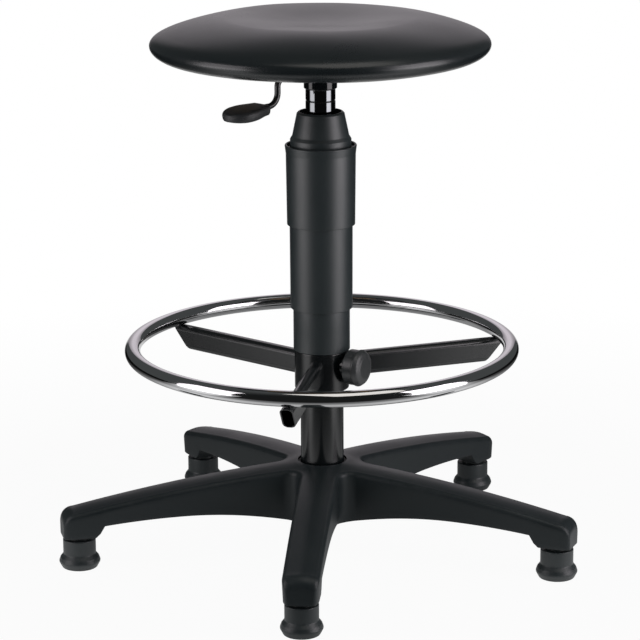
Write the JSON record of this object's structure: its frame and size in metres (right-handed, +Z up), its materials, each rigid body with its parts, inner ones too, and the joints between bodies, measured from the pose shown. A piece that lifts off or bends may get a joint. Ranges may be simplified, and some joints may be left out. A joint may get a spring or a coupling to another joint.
{
  "type": "swivel stool",
  "caption": "Height-adjustable swivel work stool: round dished foam seat, release lever, telescopic column cover, clamped chrome foot ring and five-leg base on glides.",
  "frame": {"origin": "on the floor under the stool's turning axis", "axes": "+Z up along the turning axis, -Y towards the viewer of the picture, +X to the viewer's right"},
  "size_m": [0.5953, 0.5825, 0.6272],
  "materials": {
    "black_nylon": "fine-grained black moulding, soft sheen",
    "sleeve_plastic": "fine-grained dark grey moulding",
    "bush_plastic": "smooth natural plastic, hidden inside",
    "foam_skin": "self-skinned foam, fine leathery grain, matte",
    "black_paint": "black powder coat, satin",
    "gloss_paint": "gloss black paint",
    "chrome": "bright plating",
    "steel": "zinc-plated or ground steel",
    "brass": "turned brass",
    "plywood": "plain pressed plywood"
  },
  "bodies": {
    "base": {"base_star": "black_nylon", "base_sleeve": "steel", "column": "black_paint", "guide_bush": "bush_plastic", "bearing_lower_race": "steel", "cover_lower": "sleeve_plastic"},
    "rod": {"piston_rod": "steel", "piston": "bush_plastic", "bearing_upper_race": "steel", "bearing_balls": "steel", "retaining_clip": "steel"},
    "seat": {"pressure_tube": "black_paint", "rod_guide": "bush_plastic", "cone_socket": "gloss_paint", "seat_plate": "black_paint", "seat_screw_1": "steel", "seat_screw_2": "steel", "seat_screw_3": "steel", "seat_screw_4": "steel", "seat_board": "plywood", "seat_insert_1": "steel", "seat_insert_2": "steel", "seat_insert_3": "steel", "seat_insert_4": "steel", "seat_cushion": "foam_skin", "lever_ear_a": "black_paint", "lever_ear_b": "black_paint", "lever_pin": "steel", "cover_cap": "sleeve_plastic", "cover_upper": "sleeve_plastic"},
    "lever": {"lever_rod": "black_paint", "lever_paddle": "black_nylon"},
    "valve_pin": {"valve_pin": "steel"},
    "cover_middle": {"cover_middle": "sleeve_plastic"},
    "ring_slide": {"ring_bush_lower": "bush_plastic", "ring_bush_upper": "bush_plastic"},
    "foot_ring": {"foot_ring": "chrome", "ring_arm_1": "black_paint", "ring_arm_2": "black_paint", "ring_arm_3": "black_paint", "ring_hub": "black_paint", "clamp_nut": "black_paint"},
    "clamp_pad": {"clamp_pad": "brass"},
    "clamp_knob": {"clamp_knob": "black_nylon", "clamp_screw": "steel"},
    "glide_1": {"glide_1": "black_nylon", "glide_stem_1": "steel"},
    "glide_2": {"glide_2": "black_nylon", "glide_stem_2": "steel"},
    "glide_3": {"glide_3": "black_nylon", "glide_stem_3": "steel"},
    "glide_4": {"glide_4": "black_nylon", "glide_stem_4": "steel"},
    "glide_5": {"glide_5": "black_nylon", "glide_stem_5": "steel"}
  },
  "joints": [
    {"name": "swivel", "type": "hinge", "parent": "base", "child": "rod", "pos_m": [0, 0, 0.05], "axis": [0, 0, 1], "continuous": true},
    {"name": "seat_lift", "type": "slide", "parent": "rod", "child": "seat", "axis": [0, 0, 1], "range_m": [-0.095, 0.065]},
    {"name": "lever", "type": "hinge", "parent": "seat", "child": "lever", "pos_m": [-0.01768, -0.01768, 0.5645], "axis": [-0.7071, 0.7071, 0], "range_deg": [0, 5.5], "stiffness_Nm_per_rad": 1, "springref_deg": -5.73},
    {"name": "valve_pin", "type": "slide", "parent": "seat", "child": "valve_pin", "axis": [0, 0, -1], "range_m": [0, 0.0025]},
    {"name": "cover_middle", "type": "slide", "parent": "base", "child": "cover_middle", "axis": [0, 0, 1], "range_m": [-0.0475, 0.0325]},
    {"name": "ring_slide", "type": "slide", "parent": "base", "child": "ring_slide", "axis": [0, 0, 1], "range_m": [-0.07, 0]},
    {"name": "ring_turn", "type": "hinge", "parent": "ring_slide", "child": "foot_ring", "pos_m": [0, 0, 0.218], "axis": [0, 0, 1], "continuous": true},
    {"name": "clamp_pad", "type": "slide", "parent": "foot_ring", "child": "clamp_pad", "axis": [0.866, -0.5, 0], "range_m": [0, 0.0025]},
    {"name": "clamp_knob", "type": "hinge", "parent": "clamp_pad", "child": "clamp_knob", "pos_m": [0, 0, 0.2241], "axis": [0.866, -0.5, 0], "range_deg": [0, 720]},
    {"name": "glide_1", "type": "hinge", "parent": "base", "child": "glide_1", "pos_m": [-0.02315, -0.28777, 0.02], "axis": [0, 0, 1], "continuous": true},
    {"name": "glide_2", "type": "hinge", "parent": "base", "child": "glide_2", "pos_m": [0.26653, -0.11095, 0.02], "axis": [0, 0, 1], "continuous": true},
    {"name": "glide_3", "type": "hinge", "parent": "base", "child": "glide_3", "pos_m": [0.18788, 0.2192, 0.02], "axis": [0, 0, 1], "continuous": true},
    {"name": "glide_4", "type": "hinge", "parent": "base", "child": "glide_4", "pos_m": [-0.15041, 0.24642, 0.02], "axis": [0, 0, 1], "continuous": true},
    {"name": "glide_5", "type": "hinge", "parent": "base", "child": "glide_5", "pos_m": [-0.28084, -0.06691, 0.02], "axis": [0, 0, 1], "continuous": true}
  ],
  "couplings": [
    {"joint": "valve_pin", "follows": "lever", "m_per_rad": 0.025},
    {"joint": "cover_middle", "follows": "seat_lift", "ratio": 0.5},
    {"joint": "clamp_pad", "follows": "clamp_knob", "m_per_rad": 0.000198}
  ]
}
